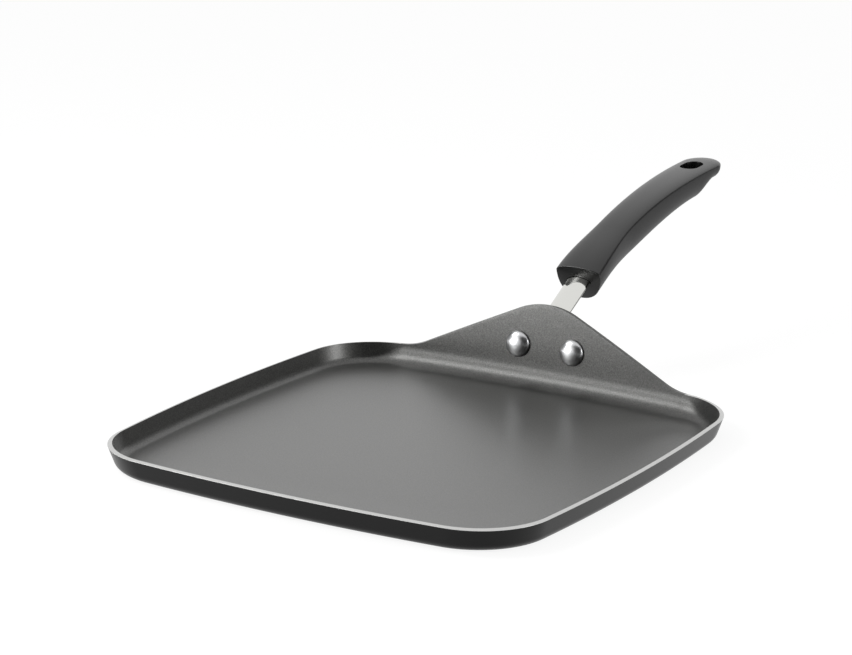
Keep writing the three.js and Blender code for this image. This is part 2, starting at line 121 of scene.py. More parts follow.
def eased_edge(before, corner, after):
    """
    Rows of a short parabola that rounds a corner: it leaves the row before and reaches the row after along
    the two faces.
    """
    share = np.linspace(0, 1, EDGE_ROWS)[:, None, None]
    return (1 - share) ** 2 * before + 2 * share * (1 - share) * corner + share**2 * after


def tray_stations():
    """Quarter turn, share along and corner flag of every station: in each quarter a side, then its corner."""
    runs = []
    for quarter, side_points in enumerate((SIDE_POINTS, BACK_POINTS, SIDE_POINTS, SIDE_POINTS)):
        for corner, points in enumerate((side_points, CORNER_POINTS)):
            share = np.arange(points) / points
            runs.append(np.stack([np.full(points, quarter), share, np.full(points, corner)]))
    return np.concatenate(runs, 1)


def outline(stations, inset):
    """
    Places on the tray's outline drawn in by an inset. Each side is an arc of the bow radius, each corner an
    arc that touches both sides, and the corner's centre lies where the two radii differ by its distance.
    """
    quarter, share, corner = stations
    half = RIM_HALF - inset
    bow = SIDE_BOW - inset
    base_inset = wall_face(0, 0, OUTER_FOOT, WALL_DRAFT, TRAY_HEIGHT)[0, 0, 0]
    radius = mix(RIM_CORNER, BASE_CORNER, inset / base_inset)
    back = bow - half
    centre = (np.sqrt(2 * (bow - radius) ** 2 - back**2) - back) / 2
    side_end = np.arctan2(centre, centre + back)
    turn = np.where(corner, mix(side_end, np.pi / 2 - side_end, share), mix(-side_end, side_end, share))
    reach = np.where(corner, radius, bow)
    x = reach * np.cos(turn) + np.where(corner, centre, -back)
    y = reach * np.sin(turn) + np.where(corner, centre, 0)
    swing = quarter * np.pi / 2
    return x * np.cos(swing) - y * np.sin(swing), x * np.sin(swing) + y * np.cos(swing)


def pan_rings():
    """
    Rings of the pan's skin, from the middle of the base up the outside, over the edge and in to the floor,
    and the finish of each face. The edge is cut square to the sheet and left bare, except along the tab.
    """
    stations = tray_stations()
    rim_x, rim_y = outline(stations, 0)
    rise = np.where(rim_y > 0, tab_rise(rim_x), 0)
    lost = smooth(np.arctan2(np.abs(rim_x), rim_y), TAB_HOLD, TAB_LOST)
    lean = mix(TAB_LEAN, WALL_DRAFT, lost)
    foot = mix(TAB_FOOT, INNER_FOOT, lost)
    top = TRAY_HEIGHT + rise
    thick = SHEET / np.cos(lean)
    soft = mix(RIM_ROUND, TAB_ROUND, smooth(rise, 0, EDGE_SETTLE))
    drop = SHEET * np.sin(lean)
    outer = wall_face(0, 0, OUTER_FOOT, lean, top - drop - soft * np.cos(lean))
    inner = wall_face(thick, SHEET, foot, lean, top - soft * np.cos(lean))[::-1]
    outer_corner = np.stack([(drop - rise) * np.tan(lean), top - drop], -1)
    inner_corner = np.stack([thick - rise * np.tan(lean), top], -1)
    step = np.stack([soft * np.cos(lean), soft * np.sin(lean)], -1)
    rim = [
        eased_edge(outer[-1], outer_corner, outer_corner + step),
        eased_edge(inner_corner - step, inner_corner, inner[0]),
    ]
    section = np.concatenate([outer[:-1], *rim, inner[1:]])
    x, y = outline(stations, section[..., 0])
    wall = np.stack([x, y, section[..., 1]], -1)
    base = wall[0] * np.array([0, *FLOOR_SHARES])[:, None, None]
    floor = wall[-1] * np.array([*FLOOR_SHARES[::-1], 0])[:, None, None]
    floor[..., 2] = SHEET
    face_rows = [len(base) + len(outer) - 1, 2 * EDGE_ROWS - 1, len(inner) + len(floor) - 1]
    strip = np.repeat([OUTSIDE, BARE, LINING], face_rows)[:, None]
    return np.concatenate([base, wall, floor]), np.where((strip == BARE) & (rise > 0), LINING, strip)


def skin(name, rings, finishes, bands=0):
    """
    Closed mesh over a stack of rings. Quads join each ring to the next, and the first and last rings, drawn
    in to one point each, are closed by fans. Bands give the finish of each face, ring by ring.
    """
    count = rings.shape[1]
    inner = len(rings) - 2
    points = np.concatenate([rings[:1, 0], rings[1:-1].reshape(-1, 3), rings[-1:, 0]])
    here = np.arange(count)
    after = (here + 1) % count
    row = 1 + count * np.arange(inner - 1)[:, None]
    quads = np.stack([row + here, row + after, row + count + after, row + count + here], -1).reshape(-1, 4)
    last = 1 + count * (inner - 1)
    start_fan = np.stack([np.zeros_like(here), 1 + after, 1 + here], -1)
    end_fan = np.stack([last + here, last + after, np.full_like(here, last + count)], -1)
    mesh = bpy.data.meshes.new(name)
    mesh.from_pydata(points, [], [*start_fan.tolist(), *quads.tolist(), *end_fan.tolist()])
    for finish in finishes:
        mesh.materials.append(finish)
    band_index = np.broadcast_to(bands, (inner + 1, count)).astype(np.int32)
    mesh.polygons.foreach_set("material_index", band_index.ravel())
    mesh.shade_smooth()
    mesh.set_sharp_from_angle(angle=SHARP_ANGLE)
    piece = bpy.data.objects.new(name, mesh)
    bpy.context.scene.collection.objects.link(piece)
    return piece


def linear(hex_colour):
    """Linear colour from an sRGB hex value."""
    srgb = np.array([int(hex_colour[i : i + 2], 16) for i in (1, 3, 5)]) / 255
    return (*np.where(srgb <= 0.04045, srgb / 12.92, ((srgb + 0.055) / 1.055) ** 2.4), 1)


def add(tree, kind, inputs=(), **settings):
    """Adds a node with its settings, and gives inputs, by name or number, a value or a link."""
    node = tree.nodes.new("ShaderNode" + kind)
    for name, value in settings.items():
        setattr(node, name, value)
    for name, value in dict(inputs).items():
        if isinstance(value, bpy.types.NodeSocket):
            tree.links.new(value, node.inputs[name])
        else:
            node.inputs[name].default_value = value
    return node


def new_material(name):
    """Empty node material with its output, ready for a shader."""
    made = bpy.data.materials.new(name)
    made.use_nodes = True
    made.node_tree.nodes.clear()
    return made, made.node_tree, made.node_tree.nodes.new("ShaderNodeOutputMaterial")


ORANGE_PEEL = 0.9 * MM  # width of the sprayed coat's pebbles
PEEL_DEPTH = 0.05 * MM
FLAKE = 0.7 * MM  # mica flakes; real ones are finer, and are drawn as coarse as shows


def nonstick_coating():
    """
    Sprayed and baked fluoropolymer over a layer of mica flake. The flakes lie flat and mirror like a dull
    dark metal; the clear top brightens towards a low angle, and spraying leaves it faintly pebbled.
    """
    made, tree, output = new_material("nonstick_coating")
    place = add(tree, "TexCoord").outputs["Object"]
    flakes = add(tree, "TexNoise", {"Vector": place, "Scale": 1 / FLAKE, "Detail": 1})
    colour = add(tree, "ValToRGB", {"Fac": flakes.outputs["Fac"]})
    colour.color_ramp.elements[0].position = 0.3
    colour.color_ramp.elements[0].color = linear("#3a3a39")
    colour.color_ramp.elements[1].position = 0.75
    colour.color_ramp.elements[1].color = linear("#5a5a58")
    pebbles = add(tree, "TexNoise", {"Vector": place, "Scale": 1 / ORANGE_PEEL, "Detail": 2})
    relief = add(tree, "Bump", {"Height": pebbles.outputs["Fac"], "Strength": 0.12, "Distance": PEEL_DEPTH})
    coat = add(tree, "BsdfPrincipled", {
        "Base Color": colour.outputs["Color"],
        "Metallic": 1,
        "Roughness": 0.45,
        "Normal": relief.outputs["Normal"],
        "Coat Weight": 1,
        "Coat Roughness": 0.3,
        "Coat IOR": 1.42,
        "Coat Normal": relief.outputs["Normal"],
    })
    tree.links.new(coat.outputs["BSDF"], output.inputs["Surface"])
    return made


def outer_coating():
    """
    Sprayed heat-proof fluoropolymer without flake, nearly black. Its low index leaves it dull face on, and it
    greys only where it is seen along the surface.
    """
    made, tree, output = new_material("outer_coating")
    place = add(tree, "TexCoord").outputs["Object"]
    pebbles = add(tree, "TexNoise", {"Vector": place, "Scale": 1 / ORANGE_PEEL, "Detail": 2})
    colour = add(tree, "ValToRGB", {"Fac": pebbles.outputs["Fac"]})
    colour.color_ramp.elements[0].color = linear("#060606")
    colour.color_ramp.elements[1].color = linear("#0c0c0c")
    relief = add(tree, "Bump", {"Height": pebbles.outputs["Fac"], "Strength": 0.12, "Distance": PEEL_DEPTH})
    coat = add(tree, "BsdfPrincipled", {
        "Base Color": colour.outputs["Color"],
        "Roughness": 0.3,
        "IOR": 1.3,
        "Normal": relief.outputs["Normal"],
    })
    tree.links.new(coat.outputs["BSDF"], output.inputs["Surface"])
    return made


TOOL_MARK = 0.8 * MM  # spacing of the cutter's marks; real ones are finer, and are drawn as coarse as shows
TOOL_DEPTH = 0.03 * MM


def machined_aluminium():
    """
    Bare aluminium, cut after coating. The cutter leaves fine marks, so the bright metal is slightly satin.
    """
    made, tree, output = new_material("machined_aluminium")
    place = add(tree, "TexCoord").outputs["Object"]
    marks = add(tree, "TexNoise", {"Vector": place, "Scale": 1 / TOOL_MARK, "Detail": 3})
    roughness = add(tree, "MapRange", {"Value": marks.outputs["Fac"], "To Min": 0.3, "To Max": 0.4})
    relief = add(tree, "Bump", {"Height": marks.outputs["Fac"], "Strength": 0.1, "Distance": TOOL_DEPTH})
    metal = add(tree, "BsdfPrincipled", {
        "Base Color": linear("#c8c8c7"),
        "Metallic": 1,
        "Roughness": roughness.outputs["Result"],
        "Normal": relief.outputs["Normal"],
    })
    tree.links.new(metal.outputs["BSDF"], output.inputs["Surface"])
    return made


pan_shape, pan_bands = pan_rings()
pan = skin("pan", pan_shape, [outer_coating(), machined_aluminium(), nonstick_coating()], pan_bands)
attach(pan, "root")
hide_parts("pan_body")


# Handle bracket. One stamping of stainless strip: a flange with a round pad at each rivet lies on the back of
# the tab, bends out into an arched strap, and runs on into the grip as a tang. The strap is polished.

RIVET_SPREAD = 36.2 * MM
RIVET_RISE = 11 * MM  # above the rim
SEAT_GAP = 0.3 * MM  # between faces that bear on each other
STRIP = 1.6 * MM
FLANGE_PAD = 9.5 * MM  # radius of flange round each rivet
NECK = 12 * MM  # length over which the flange narrows to the strap
BEND = 6 * MM
STRAP_WIDTH = 15.3 * MM
STRAP_ARCH = 2.4 * MM  # crown across the strap
STRAP_ROOT = 23.7 * MM  # height above the rim at which the strap's line leaves the flange
STRAP_RISE = np.radians(28.7)
STRAP_LENGTH = 41 * MM  # from that root to the mouth of the grip
TANG_LENGTH = 55 * MM
TANG_DEPTH = 5.2 * MM  # strap's edges below the grip's widest line
GRIP_FRONT_LEG = 73 * MM  # the grip's widest line runs on a curve drawn from two legs
GRIP_REAR_LEG = 107 * MM
GRIP_TAIL_RISE = np.radians(0.9)
MOUTH_TILT = np.radians(17)
SPINE_POINTS = 2001  # points that measure the length along the grip's curve
PAD_ROWS = 32
NECK_ROWS = 28
STRAP_ROWS = 12
TANG_ROWS = 24
ACROSS_POINTS = 24
EDGE_POINTS = 6


def tab_face(x, rise):
    """
    Distance of the tab's outer face behind the middle of the tray: the back's bow, moved out by the lean.
    """
    out = rise * np.tan(TAB_LEAN)
    bow = SIDE_BOW + out
    return RIM_HALF + out - bow + np.sqrt(bow**2 - x**2)


def heading(angle):
    """Unit vectors in the plane of symmetry, along +Y and +Z, at angles above +Y."""
    return np.stack([np.cos(angle), np.sin(angle)], -1)


# The grip's widest line is a parabola that leaves the mouth along the front leg and ends along the rear leg.
strap_root = np.array([tab_face(0, STRAP_ROOT) + SEAT_GAP / np.cos(TAB_LEAN), TRAY_HEIGHT + STRAP_ROOT])
mouth = strap_root + STRAP_LENGTH * heading(STRAP_RISE)
spine_start = mouth + TANG_DEPTH * heading(MOUTH_TILT + np.pi / 2)
spine_middle = spine_start + GRIP_FRONT_LEG * heading(STRAP_RISE)
spine_end = spine_middle + GRIP_REAR_LEG * heading(GRIP_TAIL_RISE)
spine_share = np.linspace(0, 1, SPINE_POINTS)[:, None]
spine = (
    (1 - spine_share) ** 2 * spine_start
    + 2 * spine_share * (1 - spine_share) * spine_middle
    + spine_share**2 * spine_end
)
spine_run = np.concatenate([[0], np.cumsum(np.linalg.norm(np.diff(spine, axis=0), axis=1))])
GRIP_LENGTH = spine_run[-1]


def grip_station(distance):
    """Place on the grip's widest line at a distance along it, its climb, and the section's tilt there."""
    point = np.stack([np.interp(distance, spine_run, spine[:, i]) for i in (0, 1)], -1)
    slope = np.gradient(spine, axis=0)
    climb = np.interp(distance, spine_run, np.arctan2(slope[:, 1], slope[:, 0]))
    return point, climb, mix(MOUTH_TILT, GRIP_TAIL_RISE, distance / GRIP_LENGTH)


# The bend is an arc that touches the flange and the strap. Distances run along the bracket from its foot.
upright = np.pi / 2 - TAB_LEAN
flange_foot = (STRAP_ROOT - RIVET_RISE + FLANGE_PAD) / np.cos(TAB_LEAN)
bend_turn = upright - STRAP_RISE
bend_tangent = BEND * np.tan(bend_turn / 2)
bend_start = flange_foot - bend_tangent
bend_end = bend_start + BEND * bend_turn
strap_end = bend_end + STRAP_LENGTH - bend_tangent
neck_start = 2 * FLANGE_PAD / np.cos(TAB_LEAN)


def bracket_line(distance):
    """
    Place and climb of the face that bears on the tab and becomes the strap's top, at distances from the
    flange's foot: straight up the tab, round the bend's arc, straight up the strap, then along the grip.
    """
    bent = np.clip((distance - bend_start) / BEND, 0, bend_turn)
    centre = strap_root - bend_tangent * heading(upright) + BEND * heading(upright - np.pi / 2)
    flange = strap_root + (distance - flange_foot)[:, None] * heading(upright)
    bend = centre + BEND * heading(upright - bent + np.pi / 2)
    strap = mouth + (distance - strap_end)[:, None] * heading(STRAP_RISE)
    on_spine, spine_climb, tilt = grip_station(np.clip(distance - strap_end, 0, GRIP_LENGTH))
    tang = on_spine - TANG_DEPTH * heading(tilt + np.pi / 2)
    stage = [distance <= bend_start, distance < bend_end, distance <= strap_end]
    place = np.select([part[:, None] for part in stage], [flange, bend, strap], tang)
    return place, np.select(stage, [upright, upright - bent, STRAP_RISE], spine_climb)


def bracket_rings(distance, half, grow):
    """
    Rings of the strip. Across it, the middle of its thickness follows the tab's bow on the flange and a
    parabola on the strap; the two faces lie half a thickness off that line, and the edges are half rounds.
    """
    place, climb = bracket_line(distance)
    formed = smooth(distance, neck_start, neck_start + NECK)[:, None]
    thick = STRIP / 2 + grow
    reach = (half + grow - thick)[:, None]
    x = np.linspace(-1, 1, ACROSS_POINTS) * reach
    arch = STRAP_ARCH / half[:, None] ** 2
    bow = (1 - formed) / (2 * SIDE_BOW)
    rise = formed * STRAP_ARCH - STRIP / 2 + (bow - formed * arch) * x**2
    slope = np.arctan(2 * (bow - formed * arch) * x)
    ends = np.linspace(np.pi / 2, -np.pi / 2, EDGE_POINTS)[1:-1]
    angle = np.concatenate([
        slope + np.pi / 2,
        slope[:, -1:] + ends,
        slope[:, ::-1] - np.pi / 2,
        slope[:, :1] + ends - np.pi,
    ], 1)
    order = np.concatenate([
        np.arange(ACROSS_POINTS),
        np.full(len(ends), ACROSS_POINTS - 1),
        np.arange(ACROSS_POINTS)[::-1],
        np.zeros(len(ends), int),
    ])
    across = x[:, order] + thick * np.cos(angle)
    lift = rise[:, order] + thick * np.sin(angle)
    up = heading(climb + np.pi / 2)[:, None]
    return np.concatenate([across[..., None], place[:, None] + up * lift[..., None]], -1)


def closed(rings):
    """Rings with a point added at the middle of each end, so that a skin over them has flat ends."""
    first, last = (np.broadcast_to(ring.mean(0), ring.shape) for ring in (rings[0], rings[-1]))
    return np.concatenate([first[None], rings, last[None]])


def bracket_rows():
    """
    Distances and half widths of the bracket: round pads, a neck that is a quarter ellipse, strap and tang.
    """
    pad = np.linspace(-np.pi / 2, np.pi / 2, PAD_ROWS)
    neck = np.linspace(0, np.pi / 2, NECK_ROWS)[1:]
    strap = np.linspace(neck_start + NECK, strap_end, STRAP_ROWS)[1:]
    tang = strap_end + TANG_LENGTH * np.linspace(0, 1, TANG_ROWS)[1:]
    distance = [neck_start * (1 + np.sin(pad)) / 2, neck_start + NECK * (1 - np.cos(neck)), strap, tang]
    half = [
        RIVET_SPREAD / 2 + FLANGE_PAD * np.cos(pad),
        mix(RIVET_SPREAD / 2, STRAP_WIDTH / 2, np.sin(neck)),
        np.full(len(strap) + len(tang), STRAP_WIDTH / 2),
    ]
    return np.concatenate(distance), np.concatenate(half)


POLISH_LINE = 0.35 * MM  # spacing of the polishing lines; real ones are finer, drawn as coarse as shows
POLISH_LENGTH = 17.5 * MM
POLISH_DEPTH = 0.02 * MM


def polished_stainless():
    """
    Stainless strip, stamped and polished along its length: nearly a mirror, softened by faint long lines.
    """
    made, tree, output = new_material("polished_stainless")
    place = add(tree, "TexCoord").outputs["Object"]
    stretch = POLISH_LINE / POLISH_LENGTH
    along = add(tree, "Mapping", {"Vector": place, "Scale": (1, stretch, stretch)})
    lines = add(tree, "TexNoise", {"Vector": along.outputs["Vector"], "Scale": 1 / POLISH_LINE, "Detail": 2})
    roughness = add(tree, "MapRange", {"Value": lines.outputs["Fac"], "To Min": 0.05, "To Max": 0.1})
    relief = add(tree, "Bump", {"Height": lines.outputs["Fac"], "Strength": 0.05, "Distance": POLISH_DEPTH})
    metal = add(tree, "BsdfPrincipled", {
        "Base Color": linear("#dadad6"),
        "Metallic": 1,
        "Roughness": roughness.outputs["Result"],
        "Normal": relief.outputs["Normal"],
    })
    tree.links.new(metal.outputs["BSDF"], output.inputs["Surface"])
    return made


bracket = skin("bracket", closed(bracket_rings(*bracket_rows(), 0)), [polished_stainless()])
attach(bracket, "root")
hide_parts("handle_bracket")


# Rivets. Two solid aluminium rivets pass through the tab and the flange, with domed heads on the cooking side
# and ends closed in a smaller dome behind. Heading leaves them bright.

RIVET_SHANK = 5 * MM
RIVET_HEAD = 15.8 * MM
RIVET_HEAD_HEIGHT = 3.8 * MM
RIVET_TAIL = 9 * MM
RIVET_TAIL_HEIGHT = 2.2 * MM
TURN_POINTS = 96
DOME_ROWS = 20


def tab_frame(x):
    """Frame on the tab's outer face at a rivet: +Z out of the face, +Y up the tab."""
    swing = np.arcsin(x / SIDE_BOW)
    level = np.array([np.sin(swing), np.cos(swing), 0])
    out = level * np.cos(TAB_LEAN) - np.array([0, 0, np.sin(TAB_LEAN)])
    up = level * np.sin(TAB_LEAN) + np.array([0, 0, np.cos(TAB_LEAN)])
    place = np.array([x, tab_face(x, RIVET_RISE), TRAY_HEIGHT + RIVET_RISE])
    return np.stack([np.cross(up, out), up, out]), place


def turned(profile, frame_axes, origin):
    """Rings of a turned piece: each [radius, height] of the profile swept round the frame's +Z."""
    turn = 2 * np.pi * np.arange(TURN_POINTS) / TURN_POINTS
    radius, height = np.array(profile).T[:, :, None]
    local = np.stack([radius * np.cos(turn), radius * np.sin(turn), height + 0 * turn], -1)
    return local @ frame_axes + origin


def dome(radius, height, seat):
    """Half ellipse from the top of a dome down to its edge, as [radius, height] pairs."""
    turn = np.linspace(0, np.pi / 2, DOME_ROWS)
    return np.stack([radius * np.sin(turn), seat + height * np.cos(turn)], -1)


def rivet_profile():
    """Head dome, shank and closed end, from the head's top to the end's top."""
    head_seat = -SHEET - SEAT_GAP
    tail_seat = STRIP + 2 * SEAT_GAP
    head = dome(RIVET_HEAD / 2, -RIVET_HEAD_HEIGHT, head_seat)
    tail = dome(RIVET_TAIL / 2, RIVET_TAIL_HEIGHT, tail_seat)[::-1]
    shank = [[RIVET_SHANK / 2, head_seat], [RIVET_SHANK / 2, tail_seat]]
    return np.concatenate([head, shank, tail])


DENT = 2.5 * MM  # width of the shallow unevenness that the die leaves


def bright_aluminium():
    """Soft aluminium formed cold by a polished die: a bright, slightly uneven mirror."""
    made, tree, output = new_material("bright_aluminium")
    place = add(tree, "TexCoord").outputs["Object"]
    dents = add(tree, "TexNoise", {"Vector": place, "Scale": 1 / DENT, "Detail": 2})
    roughness = add(tree, "MapRange", {"Value": dents.outputs["Fac"], "To Min": 0.27, "To Max": 0.33})
    metal = add(tree, "BsdfPrincipled", {
        "Base Color": linear("#c8c9ca"),
        "Metallic": 1,
        "Roughness": roughness.outputs["Result"],
    })
    tree.links.new(metal.outputs["BSDF"], output.inputs["Surface"])
    return made


rivet_finish = bright_aluminium()
for side, node in ((-1, "rivet_left"), (1, "rivet_right")):
    axes, origin = tab_frame(side * RIVET_SPREAD / 2)
    rivet = skin(f"{node}_dome", turned(rivet_profile(), axes, origin), [rivet_finish])
    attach(rivet, "root")
    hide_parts(node)


# Grip. One phenolic moulding with a low crowned top on a deep keel, arched along its length, with a flat face
# where the strap goes in and a thin round tail. It has a slot for the tang, a screw well and a hang hole.

MOUTH_HALF = 14.7 * MM  # half widths
WAIST_HALF = 11.3 * MM
TAIL_HALF = 12.8 * MM
WAIST_AT = 52 * MM  # distance of the waist from the mouth
CROWN = 2.5 * MM  # rise of the top above the widest line
MOUTH_CROWN = 4 * MM
CROWN_SETTLE = 45 * MM  # distance over which the mouth's crown falls to the rest
MOUTH_DEPTH = 17 * MM  # depths below the widest line
BELLY_DEPTH = 20.8 * MM
HEEL_DEPTH = 16.8 * MM
TAIL_DEPTH = 9.2 * MM
BELLY_AT = 62 * MM
HEEL_FROM_END = 34 * MM
TAIL_FROM_END = 14 * MM
EDGE_ROUND = 0.3 * MM
BULGE = 0.85  # below 1 squares off the round section
HOLE_FROM_END = 25 * MM
HOLE_LENGTH = 18 * MM
HOLE_WIDTH = 12 * MM
HOLE_ROUND = 0.3 * MM  # softening of the hole's upper edge
HOLE_FLARE = np.radians(65)  # turn of that softening, after which the cutter runs straight on
SCREW_AT = 34 * MM  # distance from the mouth
SCREW_SHANK = 4 * MM
SCREW_HEAD = 7.2 * MM
SCREW_SEAT = 6 * MM  # grip material between tang and screw head
SCREW_TIP = 1.4 * MM  # screw beyond the tang
CLEARANCE = 0.3 * MM  # round the tang and the screw
CUT_FROM = -2 * BELLY_DEPTH  # height at which the hole's and the well's cutters start, below the keel
GRIP_ROWS = 150
TAIL_ROWS = 24
MOUTH_ROWS = 8
GRIP_POINTS = 128
HOLE_POINTS = 96


def eased(place, knots):
    """Value eased from one [place, value] knot to the next."""
    value = knots[0][1]
    for (start, _), (end, goal) in zip(knots, knots[1:]):
        value = mix(value, goal, smooth(place, start, end))
    return value


def grip_rings(distance, inset):
    """
    Rings of the grip. Each section is two half superellipses on the widest line, a low one above and a deep
    one below; the half width and depth ease along the grip, and the tail's plan is a half round.
    """
    point, _, tilt = grip_station(distance)
    tail_start = GRIP_LENGTH - TAIL_HALF
    half = eased(distance, [[0, MOUTH_HALF], [WAIST_AT, WAIST_HALF], [tail_start, TAIL_HALF]])
    depth = eased(distance, [
        [0, MOUTH_DEPTH],
        [BELLY_AT, BELLY_DEPTH],
        [GRIP_LENGTH - HEEL_FROM_END, HEEL_DEPTH],
        [GRIP_LENGTH - TAIL_FROM_END, TAIL_DEPTH],
    ])
    rounding = np.sqrt(np.clip(1 - (np.maximum(0, distance - tail_start) / TAIL_HALF) ** 2, 0, 1))
    turn = -2 * np.pi * np.arange(GRIP_POINTS) / GRIP_POINTS
    across, lift = (np.sign(wave(turn)) * np.abs(wave(turn)) ** BULGE for wave in (np.cos, np.sin))
    crown = eased(distance, [[0, MOUTH_CROWN], [CROWN_SETTLE, CROWN]])
    tall = np.where(lift > 0, crown[:, None], depth[:, None]) * np.sqrt(rounding)[:, None]
    x = (half * rounding - inset)[:, None] * across
    offset = (tall - inset[:, None]) * lift
    up = heading(tilt + np.pi / 2)[:, None]
    return np.concatenate([x[..., None], point[:, None] + up * offset[..., None]], -1)


def grip_rows():
    """
    Distances and insets of the grip's rings: the mouth's rounded edge, the body, and the tail's half round.
    """
    edge = np.linspace(0, np.pi / 2, MOUTH_ROWS)
    tail_start = GRIP_LENGTH - TAIL_HALF
    body = np.linspace(EDGE_ROUND, tail_start, GRIP_ROWS)[1:]
    tail = tail_start + TAIL_HALF * np.sin(np.linspace(0, np.pi / 2, TAIL_ROWS)[1:])
    distance = np.concatenate([EDGE_ROUND * (1 - np.cos(edge)), body, tail])
    inset = np.concatenate([EDGE_ROUND * (1 - np.sin(edge)), np.zeros(len(body) + len(tail))])
    return distance, inset


def section_frame(distance):
    """Frame on the grip's widest line: +X across, +Y along the grip, +Z up out of its top."""
    point, _, tilt = grip_station(np.array([distance]))
    along, up = heading(tilt[0]), heading(tilt[0] + np.pi / 2)
    return np.array([[1, 0, 0], [0, *along], [0, *up]]), np.array([0, *point[0]])


def hole_rings():
    """
    Rings of the hang hole's cutter: a slot outline with round ends, straight up through the tail, then opened
    out along an arc of the softening radius and on past the surface.
    """
    turn = 2 * np.pi * np.arange(HOLE_POINTS) / HOLE_POINTS
    arc = np.linspace(0, HOLE_FLARE, MOUTH_ROWS)
    wider = np.concatenate([[0], HOLE_ROUND * (1 - np.cos(arc))])
    height = np.concatenate([[CUT_FROM], CROWN - HOLE_ROUND * (1 - np.sin(arc))])
    overrun = 2 * HOLE_ROUND
    wider = np.append(wider, wider[-1] + overrun * np.sin(arc[-1]))
    height = np.append(height, height[-1] + overrun * np.cos(arc[-1]))
    radius = (HOLE_WIDTH / 2 + wider)[:, None]
    straight = np.sign(np.sin(turn)) * (HOLE_LENGTH - HOLE_WIDTH) / 2
    along = radius * np.sin(turn) + straight
    local = np.stack([radius * np.cos(turn), along, height[:, None] + 0 * turn], -1)
    axes, origin = section_frame(GRIP_LENGTH - HOLE_FROM_END)
    return closed(local @ axes + origin)


def well_rings():
    """Rings of the screw well's cutter: a wide bore from below up to the head's seat, then a narrow one."""
    top = STRAP_ARCH - TANG_DEPTH + SCREW_TIP + CLEARANCE
    seat = STRAP_ARCH - STRIP - SCREW_SEAT - TANG_DEPTH
    wide = SCREW_HEAD / 2 + CLEARANCE
    narrow = SCREW_SHANK / 2 + CLEARANCE
    bore = [[0, CUT_FROM], [wide, CUT_FROM], [wide, seat]]
    shaft = [[narrow, seat], [narrow, top], [0, top]]
    return turned(bore + shaft, *section_frame(SCREW_AT))


def slot_rings():
    """
    Rings of the tang slot's cutter: the bracket's section grown by the clearance, from outside the mouth.
    """
    distance = np.linspace(strap_end - STRAP_WIDTH, strap_end + TANG_LENGTH + CLEARANCE, TANG_ROWS)
    return closed(bracket_rings(distance, np.full(TANG_ROWS, STRAP_WIDTH / 2), CLEARANCE))


def cut(piece, *cutters):
    """Cuts closed shapes out of a piece for good, and keeps the new edges sharp."""
    for rings in cutters:
        cutter = skin("cutter", rings, [])
        modifier = piece.modifiers.new("cut", "BOOLEAN")
        modifier.operation = "DIFFERENCE"
        modifier.solver = "EXACT"
        modifier.object = cutter
        shape = piece.evaluated_get(bpy.context.evaluated_depsgraph_get())
        old = piece.data
        mesh = bpy.data.meshes.new_from_object(shape)
        piece.modifiers.clear()
        piece.data = mesh
        bpy.data.objects.remove(cutter)
        bpy.data.meshes.remove(old)
    piece.data.set_sharp_from_angle(angle=SHARP_ANGLE)


MOULD_GRAIN = 0.5 * MM  # grain of the mould's blasted surface; drawn a little coarse so that it shows
GRAIN_DEPTH = 0.04 * MM


def phenolic():
    """Black phenolic resin pressed in a fine blasted mould: satin black, greyer where light grazes it."""
    made, tree, output = new_material("phenolic")
    place = add(tree, "TexCoord").outputs["Object"]
    grain = add(tree, "TexNoise", {"Vector": place, "Scale": 1 / MOULD_GRAIN, "Detail": 2})
    colour = add(tree, "ValToRGB", {"Fac": grain.outputs["Fac"]})
    colour.color_ramp.elements[0].color = linear("#0c0c0c")
    colour.color_ramp.elements[1].color = linear("#131313")
    relief = add(tree, "Bump", {"Height": grain.outputs["Fac"], "Strength": 0.15, "Distance": GRAIN_DEPTH})
    resin = add(tree, "BsdfPrincipled", {
        "Base Color": colour.outputs["Color"],
        "Roughness": 0.28,
        "IOR": 1.55,
        "Normal": relief.outputs["Normal"],
    })
    tree.links.new(resin.outputs["BSDF"], output.inputs["Surface"])
    return made


grip_shape = grip_rings(*grip_rows())
mouth_face = np.broadcast_to(grip_shape[0].mean(0), grip_shape[:1].shape)
grip = skin("grip_moulding", np.concatenate([mouth_face, grip_shape]), [phenolic()])
cut(grip, hole_rings(), well_rings(), slot_rings())
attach(grip, "root")
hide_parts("grip")


# Grip screw. A zinc plated pan head screw with a cross recess sits in the well in the grip's underside and
# draws the moulding up on the tang.

SCREW_HEAD_HEIGHT = 2.4 * MM
DRIVE_WIDTH = 1.1 * MM
DRIVE_LENGTH = 4 * MM
DRIVE_DEPTH = 1.3 * MM
CORNERS = ((-1, -1), (1, -1), (1, 1), (-1, 1))  # of a square, in turn


def screw_profile():
    """Low domed head, shank and pointed tip, from the head's face up to the tip."""
    seat = STRAP_ARCH - STRIP - SCREW_SEAT - TANG_DEPTH - SEAT_GAP
    tip = STRAP_ARCH - TANG_DEPTH + SCREW_TIP
    turn = np.linspace(0, np.pi / 2, DOME_ROWS)
    head = np.stack([SCREW_HEAD / 2 * np.sin(turn), seat - SCREW_HEAD_HEIGHT * np.sqrt(np.cos(turn))], -1)
    shank = [[SCREW_SHANK / 2, seat], [SCREW_SHANK / 2, tip - SCREW_TIP / 2]]
    point = [[SCREW_SHANK / 4, tip], [0, tip]]
    return np.concatenate([head, shank, point])


def drive_rings(width, length):
    """Rings of one arm of the cross recess: a square block across the head's face."""
    face = screw_profile()[0, 1]
    across, along = (np.array(CORNERS) * [width / 2, length / 2]).T
    ends = [face - DRIVE_DEPTH, face + DRIVE_DEPTH]
    local = np.stack([np.stack([across, along, np.full(len(CORNERS), end)], -1) for end in ends])
    axes, origin = section_frame(SCREW_AT)
    return closed(local @ axes + origin)


CLOUD = 1.5 * MM  # width of the clouds that the bath leaves


